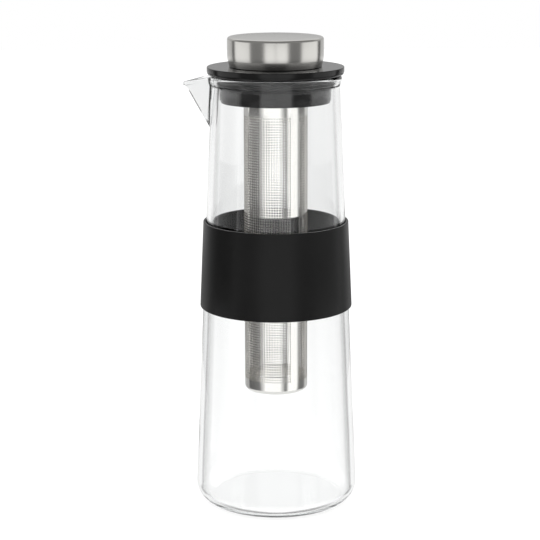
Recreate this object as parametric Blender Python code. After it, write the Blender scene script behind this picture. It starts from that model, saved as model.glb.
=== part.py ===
"""Cold brew coffee maker: glass carafe with a pinched spout, grip sleeve, steel filter and two-part lid.

Metres, +Z up. The origin is the middle of the carafe's flat base, and the spout points along -X.
Sizes run from the inside out: the filter sets the lid collar, the collar sets the carafe's neck, and
the neck sets the glass cone and the sleeve round it.
"""

import math

import bmesh
import bpy

# Clearances
SEAT_GAP = 0.0003
SLIDE_GAP = 0.0009
BORE_GAP = 0.0008

# Filter: a perforated steel tube between a plain collar with a hanging rim and a pressed cup
TUBE_RADIUS = 0.0200
SHEET = 0.0005
FILTER_FLOOR_GAP = 0.0700
CUP_HEIGHT = 0.0076
CUP_CORNER = 0.0030
NECK_BAND = 0.0132
FILTER_RIM_WIDTH = 0.0060
FILTER_RIM_THICKNESS = 0.0008
LOCATING_DEPTH = 0.0030
END_STRIP = 0.0020
SEAM_STRIP = 0.0058
SEAM_FROM_FRONT_DEG = 36.25

# Lid collar: flange disc with a spigot, screwed into a plug ring that clamps the neck seal
FLANGE_THICKNESS = 0.0052
FLANGE_OVERHANG = 0.0015
FLANGE_TOP_EDGE = 0.0005
FLANGE_LOWER_EDGE = 0.0024
SPIGOT_WALL = 0.0042
PLUG_WALL = 0.0034
PLUG_SHELF = 0.0041
PLUG_DEPTH = 0.0163
PLUG_STEP = 0.0006
PLUG_STEP_HEIGHT = 0.0017
MOULD_EDGE = 0.0004
GASKET_THICKNESS = 0.0012
GASKET_EDGE = 0.0003
SEAL_HEIGHT = 0.0070
LIP_THICKNESS = 0.0012
LIP_ROOT = 0.0018
LIP_DROOP = 0.0008
LIP_TIP = 0.0003

# Carafe
POUR_GAP = 0.0019
GLASS_WALL = 0.0036
CARAFE_HEIGHT = 0.2753
NECK_TO_RIM = 0.0069
RIM_FLARE = 0.0011
BASE_FLARE = 0.0120
FLOOR_THICKNESS = 0.0040
FOOT_CORNER = 0.0120
INNER_CORNER = 0.0070
SPOUT_REACH = 0.0172
SPOUT_HALF_WIDTH = 0.0100
SPOUT_DEPTH = 0.0323
SPOUT_DROP = 0.0038
SPOUT_WALL = 0.0012

# Grip sleeve
SLEEVE_BOTTOM = 0.1288
SLEEVE_HEIGHT = 0.0548
SLEEVE_THICKNESS = 0.0016
SLEEVE_EDGE = 0.0005

# Lid cap: a drawn steel shell over a hollow plastic core with a closing plate and a seal ring
CAP_HEIGHT = 0.0184
CAP_WALL = 0.0008
CAP_LAND = 0.0012
CAP_BULGE = 0.0012
CAP_WAIST_HEIGHT = 0.0075
CAP_TOP_EDGE = 0.0016
CORE_CLEARANCE = 0.0016
CORE_WALL = 0.0022
CORE_ROOF = 0.0030
CORE_DEPTH = 0.0125
CLOSING_PLATE = 0.0020
GROOVE_HEIGHT = 0.0026
GROOVE_DEPTH = 0.0012
GROOVE_ABOVE_END = 0.0050
SEAL_RING_EDGE = 0.0005

# Facets
TURN_STEPS = 32
ARC_STEP_DEG = 24.0
FINE_FILLET = 0.0010
RIM_STEPS = 4
CORNER_STEPS = 5
MERGE_SHARE = 0.01
BEAK_STEP_DEG = 1.5
BEAK_COLUMNS = 12
BODY_STEP_DEG = 9.0
SMOOTH_ANGLE_DEG = 35.0
BEAK_SOFTNESS = 80.0
BEAK_LEVEL_SHARES = (0.0, 0.12, 0.26, 0.42, 0.58, 0.74, 0.88, 1.0)

# The real filter's holes are under a millimetre wide, so each hole here stands for a block of them
HOLE_COLUMNS = 12
HOLE_ROWS = 15
HOLE_SHARE = 0.47
SEAM_FACETS = 3

# Derived radii, from the filter outwards
TUBE_BORE = TUBE_RADIUS - SHEET
FILTER_RIM_RADIUS = TUBE_RADIUS + FILTER_RIM_WIDTH
COLLAR_BORE = FILTER_RIM_RADIUS + BORE_GAP
SPIGOT_RADIUS = COLLAR_BORE + SPIGOT_WALL
PLUG_SOCKET = SPIGOT_RADIUS + SEAT_GAP
PLUG_RADIUS = PLUG_SOCKET + PLUG_WALL
NECK_BORE = PLUG_RADIUS + POUR_GAP
NECK_RADIUS = NECK_BORE + GLASS_WALL
RIM_RADIUS = NECK_RADIUS + RIM_FLARE
FLANGE_RADIUS = RIM_RADIUS + FLANGE_OVERHANG

# Derived heights
NECK_Z = CARAFE_HEIGHT - NECK_TO_RIM
COLLAR_Z = CARAFE_HEIGHT + SEAT_GAP
PLUG_BOTTOM_Z = CARAFE_HEIGHT - PLUG_DEPTH
SHELF_Z = PLUG_BOTTOM_Z + PLUG_SHELF
FILTER_SEAT_Z = SHELF_Z + SEAT_GAP + GASKET_THICKNESS + SEAT_GAP
FILTER_BOTTOM_Z = FLOOR_THICKNESS + FILTER_FLOOR_GAP
CAP_SEAT_Z = COLLAR_Z + FLANGE_THICKNESS + SEAT_GAP
SPOUT_BOTTOM_Z = CARAFE_HEIGHT - SPOUT_DEPTH


def clear_scene():
    """Removes whatever objects the file opened with."""
    for thing in list(bpy.data.objects):
        bpy.data.objects.remove(thing, do_unlink=True)


def material(name, colour, roughness, metallic=0.0, transmission=0.0):
    """A Principled material with a plain colour."""
    made = bpy.data.materials.new(name)
    made.use_nodes = True
    shader = made.node_tree.nodes["Principled BSDF"]
    shader.inputs["Base Color"].default_value = (*colour, 1.0)
    shader.inputs["Roughness"].default_value = roughness
    shader.inputs["Metallic"].default_value = metallic
    shader.inputs["Transmission Weight"].default_value = transmission
    return made


def group(name, height, parent=None):
    """An empty on the carafe's axis that carries the pieces which move together."""
    empty = bpy.data.objects.new(name, None)
    bpy.context.scene.collection.objects.link(empty)
    empty.parent = parent
    carried_at = parent["height"] if parent else 0.0
    empty["height"] = height
    empty.location = (0.0, 0.0, height - carried_at)
    return empty


def place(name, bm, look, carrier):
    """Turns a bmesh into a smooth-shaded object carried by a group's empty."""
    bmesh.ops.recalc_face_normals(bm, faces=bm.faces)
    mesh = bpy.data.meshes.new(name)
    bm.to_mesh(mesh)
    bm.free()
    mesh.shade_smooth()
    mesh.set_sharp_from_angle(angle=math.radians(SMOOTH_ANGLE_DEG))
    mesh.materials.append(look)
    piece = bpy.data.objects.new(name, mesh)
    bpy.context.scene.collection.objects.link(piece)
    piece.parent = carrier
    return piece


def arc_steps(radius, sweep):
    """Facets along a fillet: one on a fine edge, two or more on a wider curve."""
    if radius < FINE_FILLET:
        return 1
    return max(2, round(abs(sweep) / math.radians(ARC_STEP_DEG)))


def rounded(corners, closed=True):
    """Outline points from corners (radius, height, fillet), each fillet drawn as an arc."""
    count = len(corners)
    points = []
    for i, (x, z, fillet) in enumerate(corners):
        inner = closed or 0 < i < count - 1
        if fillet <= 0.0 or not inner:
            points.append((x, z))
            continue
        before, after = corners[i - 1], corners[(i + 1) % count]
        to_before = (before[0] - x, before[1] - z)
        to_after = (after[0] - x, after[1] - z)
        len_before, len_after = math.hypot(*to_before), math.hypot(*to_after)
        u = (to_before[0] / len_before, to_before[1] / len_before)
        v = (to_after[0] / len_after, to_after[1] / len_after)
        half = math.acos(max(-1.0, min(1.0, u[0] * v[0] + u[1] * v[1]))) / 2
        reach = min(fillet / math.tan(half), len_before / 2, len_after / 2)
        radius = reach * math.tan(half)
        middle = ((u[0] + v[0]), (u[1] + v[1]))
        scale = radius / math.sin(half) / math.hypot(*middle)
        centre = (x + middle[0] * scale, z + middle[1] * scale)
        start = math.atan2(z + u[1] * reach - centre[1], x + u[0] * reach - centre[0])
        end = math.atan2(z + v[1] * reach - centre[1], x + v[0] * reach - centre[0])
        sweep = (end - start + math.pi) % (2 * math.pi) - math.pi
        steps = arc_steps(radius, sweep)
        for k in range(steps + 1):
            angle = start + sweep * k / steps
            points.append((centre[0] + radius * math.cos(angle), centre[1] + radius * math.sin(angle)))
    return points


def turned(name, corners, look, carrier, closed=True):
    """A body of revolution about the axis. An open outline starts and ends on the axis."""
    bm = bmesh.new()
    line = [bm.verts.new((x, 0.0, z)) for x, z in rounded(corners, closed)]
    edges = [bm.edges.new(pair) for pair in zip(line, line[1:])]
    if closed:
        edges.append(bm.edges.new((line[-1], line[0])))
    bmesh.ops.spin(
        bm,
        geom=line + edges,
        cent=(0.0, 0.0, 0.0),
        axis=(0.0, 0.0, 1.0),
        angle=2 * math.pi,
        steps=TURN_STEPS,
        use_merge=True,
    )
    bmesh.ops.remove_doubles(bm, verts=bm.verts, dist=SEAT_GAP * MERGE_SHARE)
    return place(name, bm, look, carrier)


def cone_radius(z):
    """The glass cone's outer radius at a height, from the base to the neck."""
    return NECK_RADIUS + BASE_FLARE * (1.0 - z / NECK_Z)


def wall_radius(z):
    """The glass's outer radius at a height, with the flare above the neck."""
    if z <= NECK_Z:
        return cone_radius(z)
    rise = min(1.0, (z - NECK_Z) / (NECK_TO_RIM - GLASS_WALL / 2))
    return NECK_RADIUS + RIM_FLARE * rise * rise * (3.0 - 2.0 * rise)


def beak_half_angle():
    """Half of the angle between the spout's two side walls."""
    junction = math.sqrt(RIM_RADIUS**2 - SPOUT_HALF_WIDTH**2)
    return math.atan2(SPOUT_HALF_WIDTH, RIM_RADIUS + SPOUT_REACH - junction)


def beak_lift(z):
    """How far the spout stands out at a height, as a share of its reach at the rim."""
    return max(0.0, (z - SPOUT_BOTTOM_Z) / SPOUT_DEPTH)


def column_angles():
    """Angles from the spout's keel round the carafe, close together over the spout."""
    beak = [math.radians(BEAK_STEP_DEG * k) for k in range(-BEAK_COLUMNS, BEAK_COLUMNS + 1)]
    rest = 2 * math.pi - 2 * beak[-1]
    count = round(rest / math.radians(BODY_STEP_DEG))
    return beak + [beak[-1] + rest * k / count for k in range(1, count)]


def glass_ring(bm, radius, apex, z):
    """One level of the glass: a circle, drawn out to a wedge whose keel is at apex."""
    half = beak_half_angle()
    ring = []
    for angle in column_angles():
        turn = abs((angle + math.pi) % (2 * math.pi) - math.pi)
        wedge = apex * math.sin(half) / math.sin(half + turn) if turn < math.pi / 2 else 0.0
        share = (wedge / radius) ** BEAK_SOFTNESS if apex > radius else 0.0
        out = radius * (1.0 + share) ** (1.0 / BEAK_SOFTNESS)
        drop = SPOUT_DROP * (out - radius) / SPOUT_REACH
        ring.append(bm.verts.new((-out * math.cos(angle), out * math.sin(angle), z - drop)))
    return ring


def glass_levels():
    """(radius, keel distance, height) of each ring, from the foot up, over the rim and down to the floor."""
    levels = []
    foot_centre = cone_radius(FOOT_CORNER) - FOOT_CORNER
    for k in range(CORNER_STEPS + 1):
        angle = math.pi / 2 * k / CORNER_STEPS
        radius = foot_centre + FOOT_CORNER * math.sin(angle)
        levels.append((radius, 0.0, FOOT_CORNER * (1.0 - math.cos(angle))))
    keel_wall = SPOUT_WALL / math.sin(beak_half_angle())
    rim_centre_z = CARAFE_HEIGHT - GLASS_WALL / 2
    beak_z = [SPOUT_BOTTOM_Z + (rim_centre_z - SPOUT_BOTTOM_Z) * s for s in BEAK_LEVEL_SHARES]
    for z in beak_z:
        keel = wall_radius(z) + SPOUT_REACH * beak_lift(z) if beak_lift(z) > 0.0 else 0.0
        levels.append((wall_radius(z), keel, z))
    rim_keel = levels[-1][1]
    for k in range(1, RIM_STEPS):
        angle = math.pi * k / RIM_STEPS
        radius = RIM_RADIUS - GLASS_WALL / 2 * (1.0 - math.cos(angle))
        keel = rim_keel - keel_wall / 2 * (1.0 - math.cos(angle))
        levels.append((radius, keel, rim_centre_z + GLASS_WALL / 2 * math.sin(angle)))
    for z in reversed(beak_z):
        bore = wall_radius(z) - GLASS_WALL
        keel = wall_radius(z) + SPOUT_REACH * beak_lift(z) - keel_wall
        levels.append((bore, keel if keel > bore else 0.0, z))
    corner_z = FLOOR_THICKNESS + INNER_CORNER
    for k in range(CORNER_STEPS + 1):
        angle = math.pi / 2 * k / CORNER_STEPS
        radius = cone_radius(corner_z) - GLASS_WALL - INNER_CORNER * (1.0 - math.cos(angle))
        levels.append((radius, 0.0, corner_z - INNER_CORNER * math.sin(angle)))
    return levels


def make_carafe(look, carrier):
    """The blown glass body with its spout, as one wall lofted through rings."""
    bm = bmesh.new()
    rings = [glass_ring(bm, *level) for level in glass_levels()]
    for lower, upper in zip(rings, rings[1:]):
        for k in range(len(lower)):
            after = (k + 1) % len(lower)
            bm.faces.new((lower[k], lower[after], upper[after], upper[k]))
    bm.faces.new(rings[0])
    bm.faces.new(rings[-1])
    return place("carafe", bm, look, carrier)


def make_sleeve(look, carrier):
    """The grip sleeve: a tapered band that wedges on the glass cone."""
    top = SLEEVE_BOTTOM + SLEEVE_HEIGHT
    low, high = cone_radius(SLEEVE_BOTTOM) + SEAT_GAP, cone_radius(top) + SEAT_GAP
    corners = [
        (low, 0.0, SLEEVE_EDGE),
        (low + SLEEVE_THICKNESS, 0.0, SLEEVE_EDGE),
        (high + SLEEVE_THICKNESS, SLEEVE_HEIGHT, SLEEVE_EDGE),
        (high, SLEEVE_HEIGHT, SLEEVE_EDGE),
    ]
    return turned("grip_sleeve", corners, look, carrier)


def make_collar(flange_look, plug_look, rubber_look, carrier):
    """The lid collar, built from the plane of its flange's underside."""
    spigot_end = SHELF_Z + SEAT_GAP - COLLAR_Z
    flange = [
        (COLLAR_BORE, spigot_end, 0.0),
        (SPIGOT_RADIUS, spigot_end, 0.0),
        (SPIGOT_RADIUS, 0.0, 0.0),
        (FLANGE_RADIUS, 0.0, FLANGE_LOWER_EDGE),
        (FLANGE_RADIUS, FLANGE_THICKNESS, FLANGE_TOP_EDGE),
        (COLLAR_BORE, FLANGE_THICKNESS, FLANGE_TOP_EDGE),
    ]
    turned("collar_flange", flange, flange_look, carrier)

    seal_top = -SEAT_GAP
    seal_bottom = seal_top - SEAL_HEIGHT
    plug_top = seal_bottom - SEAT_GAP
    plug_bottom = PLUG_BOTTOM_Z - COLLAR_Z
    shelf = SHELF_Z - COLLAR_Z
    plug = [
        (TUBE_RADIUS + SLIDE_GAP, plug_bottom, MOULD_EDGE),
        (PLUG_RADIUS - PLUG_STEP, plug_bottom, MOULD_EDGE),
        (PLUG_RADIUS - PLUG_STEP, plug_bottom + PLUG_STEP_HEIGHT, 0.0),
        (PLUG_RADIUS, plug_bottom + PLUG_STEP_HEIGHT, 0.0),
        (PLUG_RADIUS, plug_top, MOULD_EDGE),
        (PLUG_SOCKET, plug_top, 0.0),
        (PLUG_SOCKET, shelf, 0.0),
        (TUBE_RADIUS + SLIDE_GAP, shelf, 0.0),
    ]
    turned("collar_plug", plug, plug_look, carrier)
    turned("neck_seal", seal_section(seal_bottom, seal_top), rubber_look, carrier)

    gasket_bottom = shelf + SEAT_GAP
    gasket = [
        (TUBE_RADIUS + SLIDE_GAP, gasket_bottom, 0.0),
        (COLLAR_BORE - SEAT_GAP, gasket_bottom, 0.0),
        (COLLAR_BORE - SEAT_GAP, gasket_bottom + GASKET_THICKNESS, GASKET_EDGE),
        (TUBE_RADIUS + SLIDE_GAP, gasket_bottom + GASKET_THICKNESS, GASKET_EDGE),
    ]
    turned("filter_gasket", gasket, rubber_look, carrier)


def seal_section(bottom, top):
    """The neck seal's outline: a band with one lip at its foot and one below its top edge."""
    corners = [(PLUG_SOCKET, bottom, 0.0), (PLUG_RADIUS, bottom, 0.0)]
    first_root = bottom + LIP_DROOP
    second_root = first_root + (top - bottom) / 2
    for root in (first_root, second_root):
        tip = root - LIP_DROOP + (LIP_ROOT - LIP_THICKNESS) / 2
        reach = wall_radius(COLLAR_Z + tip) - GLASS_WALL - SEAT_GAP
        corners += [
            (PLUG_RADIUS, root, 0.0),
            (reach, tip, LIP_TIP),
            (reach, tip + LIP_THICKNESS, LIP_TIP),
            (PLUG_RADIUS, root + LIP_ROOT, 0.0),
        ]
    corners += [(PLUG_RADIUS, top, 0.0), (PLUG_SOCKET, top, 0.0)]
    return corners


def make_filter(look, carrier):
    """The filter, built from the underside of its hanging rim."""
    bottom = FILTER_BOTTOM_Z - FILTER_SEAT_Z
    cup_top = bottom + CUP_HEIGHT
    band_bottom = -NECK_BAND
    inset = TUBE_BORE - SEAT_GAP
    rim = [
        (inset - SHEET, band_bottom - LOCATING_DEPTH, 0.0),
        (inset, band_bottom - LOCATING_DEPTH, 0.0),
        (inset, band_bottom, 0.0),
        (TUBE_RADIUS, band_bottom, 0.0),
        (TUBE_RADIUS, 0.0, SHEET),
        (FILTER_RIM_RADIUS, 0.0, SHEET / 2),
        (FILTER_RIM_RADIUS, FILTER_RIM_THICKNESS, SHEET / 2),
        (TUBE_BORE, FILTER_RIM_THICKNESS, SHEET),
        (TUBE_BORE, band_bottom + SHEET, 0.0),
        (inset - SHEET, band_bottom + SHEET, 0.0),
    ]
    turned("filter_rim", rim, look, carrier)
    cup = [
        (0.0, bottom, 0.0),
        (TUBE_RADIUS, bottom, CUP_CORNER),
        (TUBE_RADIUS, cup_top, 0.0),
        (inset, cup_top, 0.0),
        (inset, cup_top + LOCATING_DEPTH, 0.0),
        (inset - SHEET, cup_top + LOCATING_DEPTH, 0.0),
        (inset - SHEET, bottom + SHEET, CUP_CORNER),
        (0.0, bottom + SHEET, 0.0),
    ]
    turned("filter_base", cup, look, carrier, closed=False)
    tube_bottom = cup_top + SEAT_GAP
    tube_top = band_bottom - SEAT_GAP
    make_screen(tube_bottom, tube_top, look, carrier)


def screen_angles():
    """Angles of the screen's upright edges, from its seam strip round, and which facets carry holes."""
    seam = SEAM_STRIP / TUBE_RADIUS
    pitch = (2 * math.pi - seam) / HOLE_COLUMNS
    first = math.radians(SEAM_FROM_FRONT_DEG) - math.pi / 2 + seam / 2
    angles, pierced = [], []
    for k in range(HOLE_COLUMNS):
        middle = first + pitch * (k + 0.5)
        angles += [middle - pitch * HOLE_SHARE / 2, middle + pitch * HOLE_SHARE / 2]
        pierced += [True, False]
    plain = angles[0] + 2 * math.pi - angles[-1]
    angles += [angles[-1] + plain * k / SEAM_FACETS for k in range(1, SEAM_FACETS)]
    return angles, pierced + [False] * (SEAM_FACETS - 1)


def make_screen(bottom, top, look, carrier):
    """The perforated sheet, rolled into a tube, with a plain strip along its seam."""
    bm = bmesh.new()
    angles, pierced_column = screen_angles()
    pitch = (top - bottom - 2 * END_STRIP) / HOLE_ROWS
    levels, pierced_row = [bottom], [False]
    for k in range(HOLE_ROWS):
        middle = bottom + END_STRIP + pitch * (k + 0.5)
        levels += [middle - pitch * HOLE_SHARE / 2, middle + pitch * HOLE_SHARE / 2]
        pierced_row += [True, False]
    levels.append(top)
    rings = []
    for z in levels:
        rings.append([bm.verts.new((TUBE_RADIUS * math.cos(a), TUBE_RADIUS * math.sin(a), z)) for a in angles])
    for row, (lower, upper) in enumerate(zip(rings, rings[1:])):
        for k in range(len(angles)):
            if not (pierced_row[row] and pierced_column[k]):
                after = (k + 1) % len(angles)
                bm.faces.new((lower[k], lower[after], upper[after], upper[k]))
    screen = place("filter_tube", bm, look, carrier)
    sheet = screen.modifiers.new("sheet", "SOLIDIFY")
    sheet.thickness = SHEET
    sheet.offset = -1.0
    sheet.use_even_offset = True


def make_cap(shell_look, core_look, rubber_look, carrier):
    """The lift-off cap, built from the plane where its shell stands on the flange."""
    foot = COLLAR_BORE + CAP_LAND + CAP_WALL
    belly = foot + CAP_BULGE
    shell = [
        (0.0, CAP_HEIGHT, 0.0),
        (belly, CAP_HEIGHT, CAP_TOP_EDGE),
        (belly, CAP_WAIST_HEIGHT, CAP_WAIST_HEIGHT),
        (foot, 0.0, 0.0),
        (foot - CAP_WALL, 0.0, 0.0),
        (belly - CAP_WALL, CAP_WAIST_HEIGHT, CAP_WAIST_HEIGHT),
        (belly - CAP_WALL, CAP_HEIGHT - CAP_WALL, CAP_TOP_EDGE - CAP_WALL),
        (0.0, CAP_HEIGHT - CAP_WALL, 0.0),
    ]
    turned("cap_shell", shell, shell_look, carrier, closed=False)

    plug = COLLAR_BORE - CORE_CLEARANCE
    shoulder = foot - CAP_WALL - SEAT_GAP
    end = -CORE_DEPTH
    roof = CAP_HEIGHT - CAP_WALL - SEAT_GAP
    groove = end + GROOVE_ABOVE_END
    plate_seat = end + CLOSING_PLATE + SEAT_GAP
    core = [
        (0.0, roof, 0.0),
        (shoulder, roof, CAP_TOP_EDGE),
        (shoulder, 0.0, 0.0),
        (plug, 0.0, 0.0),
        (plug, groove + GROOVE_HEIGHT, 0.0),
        (plug - GROOVE_DEPTH, groove + GROOVE_HEIGHT, 0.0),
        (plug - GROOVE_DEPTH, groove, 0.0),
        (plug, groove, 0.0),
        (plug, end, 0.0),
        (plug - CORE_WALL / 2, end, 0.0),
        (plug - CORE_WALL / 2, plate_seat, 0.0),
        (plug - CORE_WALL, plate_seat, 0.0),
        (plug - CORE_WALL, roof - CORE_ROOF, CORE_WALL),
        (0.0, roof - CORE_ROOF, 0.0),
    ]
    turned("cap_core", core, core_look, carrier, closed=False)
    plate_radius = plug - CORE_WALL / 2 - SEAT_GAP
    plate = [
        (0.0, end, 0.0),
        (plate_radius, end, MOULD_EDGE),
        (plate_radius, end + CLOSING_PLATE, 0.0),
        (0.0, end + CLOSING_PLATE, 0.0),
    ]
    turned("cap_plate", plate, core_look, carrier, closed=False)
    ring_bottom, ring_top = groove + SEAT_GAP, groove + GROOVE_HEIGHT - SEAT_GAP
    ring_inner, ring_outer = plug - GROOVE_DEPTH + SEAT_GAP, COLLAR_BORE - SEAT_GAP
    ring = [
        (ring_inner, ring_bottom, 0.0),
        (ring_outer, ring_bottom, SEAL_RING_EDGE),
        (ring_outer, ring_top, SEAL_RING_EDGE),
        (ring_inner, ring_top, 0.0),
    ]
    turned("cap_seal", ring, rubber_look, carrier)


def main():
    clear_scene()
    glass = material("glass", (0.96, 0.97, 0.97), 0.0, transmission=1.0)
    silicone = material("silicone", (0.016, 0.016, 0.017), 0.55)
    matte = material("matte_black", (0.035, 0.035, 0.036), 0.42)
    gloss = material("gloss_black", (0.030, 0.030, 0.031), 0.16)
    satin_steel = material("satin_steel", (0.62, 0.61, 0.58), 0.28, metallic=1.0)
    bright_steel = material("bright_steel", (0.74, 0.72, 0.69), 0.18, metallic=1.0)

    carafe_group = group("carafe_group", 0.0)
    sleeve_group = group("sleeve_group", SLEEVE_BOTTOM, carafe_group)
    collar_group = group("collar_group", COLLAR_Z, carafe_group)
    filter_group = group("filter_group", FILTER_SEAT_Z, collar_group)
    cap_group = group("cap_group", CAP_SEAT_Z, filter_group)

    make_carafe(glass, carafe_group)
    make_sleeve(silicone, sleeve_group)
    make_collar(matte, gloss, silicone, collar_group)
    make_filter(bright_steel, filter_group)
    make_cap(satin_steel, matte, silicone, cap_group)


main()
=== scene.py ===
import math

import bpy
import numpy as np
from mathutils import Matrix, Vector


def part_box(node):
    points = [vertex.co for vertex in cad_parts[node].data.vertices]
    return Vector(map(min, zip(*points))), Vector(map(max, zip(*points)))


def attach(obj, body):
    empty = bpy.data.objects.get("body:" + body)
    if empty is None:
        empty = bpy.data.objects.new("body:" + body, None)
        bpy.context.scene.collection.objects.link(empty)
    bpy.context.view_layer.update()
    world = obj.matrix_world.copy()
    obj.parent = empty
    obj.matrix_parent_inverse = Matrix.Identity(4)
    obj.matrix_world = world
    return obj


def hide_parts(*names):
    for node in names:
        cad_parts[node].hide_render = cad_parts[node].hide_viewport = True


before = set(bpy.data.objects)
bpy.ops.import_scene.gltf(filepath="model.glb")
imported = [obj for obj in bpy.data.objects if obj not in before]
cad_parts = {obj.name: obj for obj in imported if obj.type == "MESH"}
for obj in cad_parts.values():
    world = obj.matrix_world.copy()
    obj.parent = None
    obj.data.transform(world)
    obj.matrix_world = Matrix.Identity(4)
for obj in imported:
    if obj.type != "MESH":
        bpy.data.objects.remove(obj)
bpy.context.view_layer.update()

# Sizes in metres that the frame's boxes don't give

# Glass
GLASS_WALL = 0.0036
NECK_RADIUS = 0.0402
NECK_TO_RIM = 0.0069
RIM_FLARE = 0.0011
BASE_FLARE = 0.0120
FLOOR_THICKNESS = 0.0040
FOOT_CORNER = 0.0120
INNER_CORNER = 0.0070
SPOUT_HALF_WIDTH = 0.0100
SPOUT_DEPTH = 0.0323
SPOUT_DROP = 0.0038
SPOUT_REACH = 0.0172
KEEL_WALL = 0.0010
CHANNEL_HALF_WIDTH = 0.0060
CREASE_SHARP = 0.0006
CREASE_SOFT = 0.0016
# Shares of the spout's height: where its keel has thinned out, and between which its creases sharpen
KEEL_FADE = 0.25
CREASE_LIFTS = (0.30, 0.60)

# Sleeve
SLEEVE_THICKNESS = 0.0016
SLEEVE_EDGE = 0.0005

# Filter
SHEET = 0.0005
TUBE_RADIUS = 0.0200
SLIDE_GAP = 0.0009
CUP_CORNER = 0.0030
LOCATING_DEPTH = 0.0030
FILTER_RIM_THICKNESS = 0.0008
HOLE_PITCH = 0.00163
HOLE_SIDE = 0.0011
END_STRIP = 0.0004
SEAM_DEG = (28.0, 44.5)

# Lid collar
COLLAR_BORE = 0.0268
SPIGOT_WALL = 0.0042
PLUG_WALL = 0.0034
PLUG_SHELF = 0.0041
PLUG_STEP = 0.0006
PLUG_STEP_HEIGHT = 0.0017
FLANGE_THICKNESS = 0.0052
FLANGE_TOP_EDGE = 0.0004
FLANGE_LOWER_EDGE = 0.0024
MOULD_EDGE = 0.0004
SEAT_GAP = 0.0003
LIP_TIP = 0.0001
# How thick a lip is at its root and tip, how far it droops, and how far it presses into the glass
LOWER_LIP = {"root": 0.0022, "tip": 0.0018, "droop": 0.0002, "press": 0.00035}
UPPER_LIP = {"root": 0.0016, "tip": 0.0009, "droop": 0.0004, "press": -0.0003}

# Cap
CAP_WALL = 0.0008
CAP_BULGE = 0.0012
CAP_WAIST_HEIGHT = 0.0075
CAP_TOP_EDGE = 0.0016
CAP_DROP = 0.0003
CORE_CLEARANCE = 0.0016
CORE_WALL = 0.0022
CORE_ROOF = 0.0030
GROOVE_HEIGHT = 0.0026
GROOVE_DEPTH = 0.0012
GROOVE_ABOVE_END = 0.0050
SEAL_RING_EDGE = 0.0005

# Facets
TURN_STEPS = 180
ARC_STEP_DEG = 9.0
SMOOTH_ANGLE_DEG = 32.0
FOOT_STEPS = 16
PLAIN_STEPS = 20
SPOUT_STEPS = 32
RIM_STEPS = 12
INNER_CORNER_STEPS = 12
SPOUT_COLUMNS = 36
SPOUT_COLUMN_DEG = 0.75
ROUND_COLUMNS = 132
SEAM_STEPS = 5
CAP_WAIST_STEPS = 8

# Materials
GLASS_COLOUR = (0.995, 0.998, 0.997, 1.0)
GLASS_IOR = 1.47
GLASS_WAVE_SCALE = 26.0
GLASS_WAVE_HEIGHT = 0.00012
GLASS_DEPTH_COLOUR = (0.89, 0.90, 0.90, 1.0)
GLASS_DEPTH_DENSITY = 30.0
STEEL_TURN_SCALE = 2.5
STEEL_LINE_GLOSS = (0.7, 1.3)
STEEL_CLOUD_SCALE = 55.0
STEEL_CLOUD_GLOSS = 0.15
# Painted shade inside the filter tube: a less metallic steel colour that makes the inside and the holes
# look darker
STEEL_PAINTED_SHADE_COLOUR = (0.90, 0.885, 0.86, 1.0)
STEEL_PAINTED_SHADE_METALLIC = 0.7
PLASTIC_CLOUD_SCALE = 38.0
PLASTIC_CLOUD_GLOSS = 0.03

# Camera, measured from the photograph: 540 pixels across
CAMERA_AT = (-0.00310, -1.0935, 0.3970)
CAMERA_PITCH_DEG = 12.67
CAMERA_ROLL_DEG = 0.16
FOCAL_PIXELS = 1759.8
IMAGE_PIXELS = 540
SENSOR_MM = 36.0

# The studio in reflections: brightness by degrees from the front, towards +X.
# Mirrored below the horizon, outside the glass: by the lid, and by the glass's and sleeve's edges
LEVEL_BANDS = (
    (-180, 0.68), (-128, 0.68), (-123, 0.10), (-116, 0.10), (-110, 1.25), (-66, 1.25), (-61, 0.27),
    (-30, 0.27), (-23, 1.38), (-5, 1.34), (0, 1.08), (5, 1.34), (26, 1.38), (34, 0.25), (61, 0.25),
    (68, 1.25), (117, 1.25), (122, 0.10), (131, 0.10), (136, 0.68), (180, 0.68),
)
EDGE_BANDS = ((-136, 1.0), (-122, 0.0), (128, 0.0), (142, 1.0))
# Mirrored above the horizon: by the cap's side, by its top edge, and by its waist off the disc below it
HIGH_BANDS = ((-180, 0.49), (-135, 0.49), (-100, 0.27), (100, 0.27), (135, 0.49), (180, 0.49))
UPPER_BANDS = ((-150, 1.05), (-120, 0.28), (120, 0.28), (150, 1.05))
SECOND_BANDS = (
    (-180, 0.60), (-125, 0.60), (-110, 2.50), (-38, 2.50), (-22, 0.95), (22, 0.95), (38, 2.50),
    (110, 2.50), (125, 0.60), (180, 0.60),
)
# Mirrored within the front glass: by its wall, and by its neck before the plug
WALL_BANDS = ((-180, 1.02), (-148, 1.02), (-142, 0.50), (142, 0.50), (148, 1.02), (180, 1.02))
NECK_BANDS = (
    (-76, 0.97), (-70, 0.18), (-31, 0.18), (-27, 0.92), (27, 0.92), (31, 0.18), (70, 0.18), (76, 0.97),
)
# Mirrored behind the front glass: by the plug and by the strainer
PLUG_BANDS = (
    (-116, 0.90), (-110, 1.25), (-66, 1.25), (-61, 0.27), (-30, 0.27), (-23, 1.42), (26, 1.42),
    (34, 0.27), (61, 0.27), (68, 1.25), (112, 1.25), (118, 0.90),
)
TUBE_BANDS = (
    (-122, 0.48), (-115, 0.11), (-64, 0.13), (-46, 0.95), (-39, 1.35), (14, 1.35), (27, 0.55),
    (33, 0.18), (38, 0.25), (47, 1.35), (80, 1.35), (89, 0.40), (98, 0.15), (117, 0.20), (124, 0.30),
    (131, 0.60), (140, 0.78), (152, 0.58),
)
# Seen straight, where the glass's edges bend the ray
KEEL_BANDS = (
    (-154, 1.0), (-148, 0.15), (-80, 0.15), (-72, 1.0), (72, 1.0), (80, 0.15), (148, 0.15), (154, 1.0),
)
RAMP_TOP = 2.5

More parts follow.
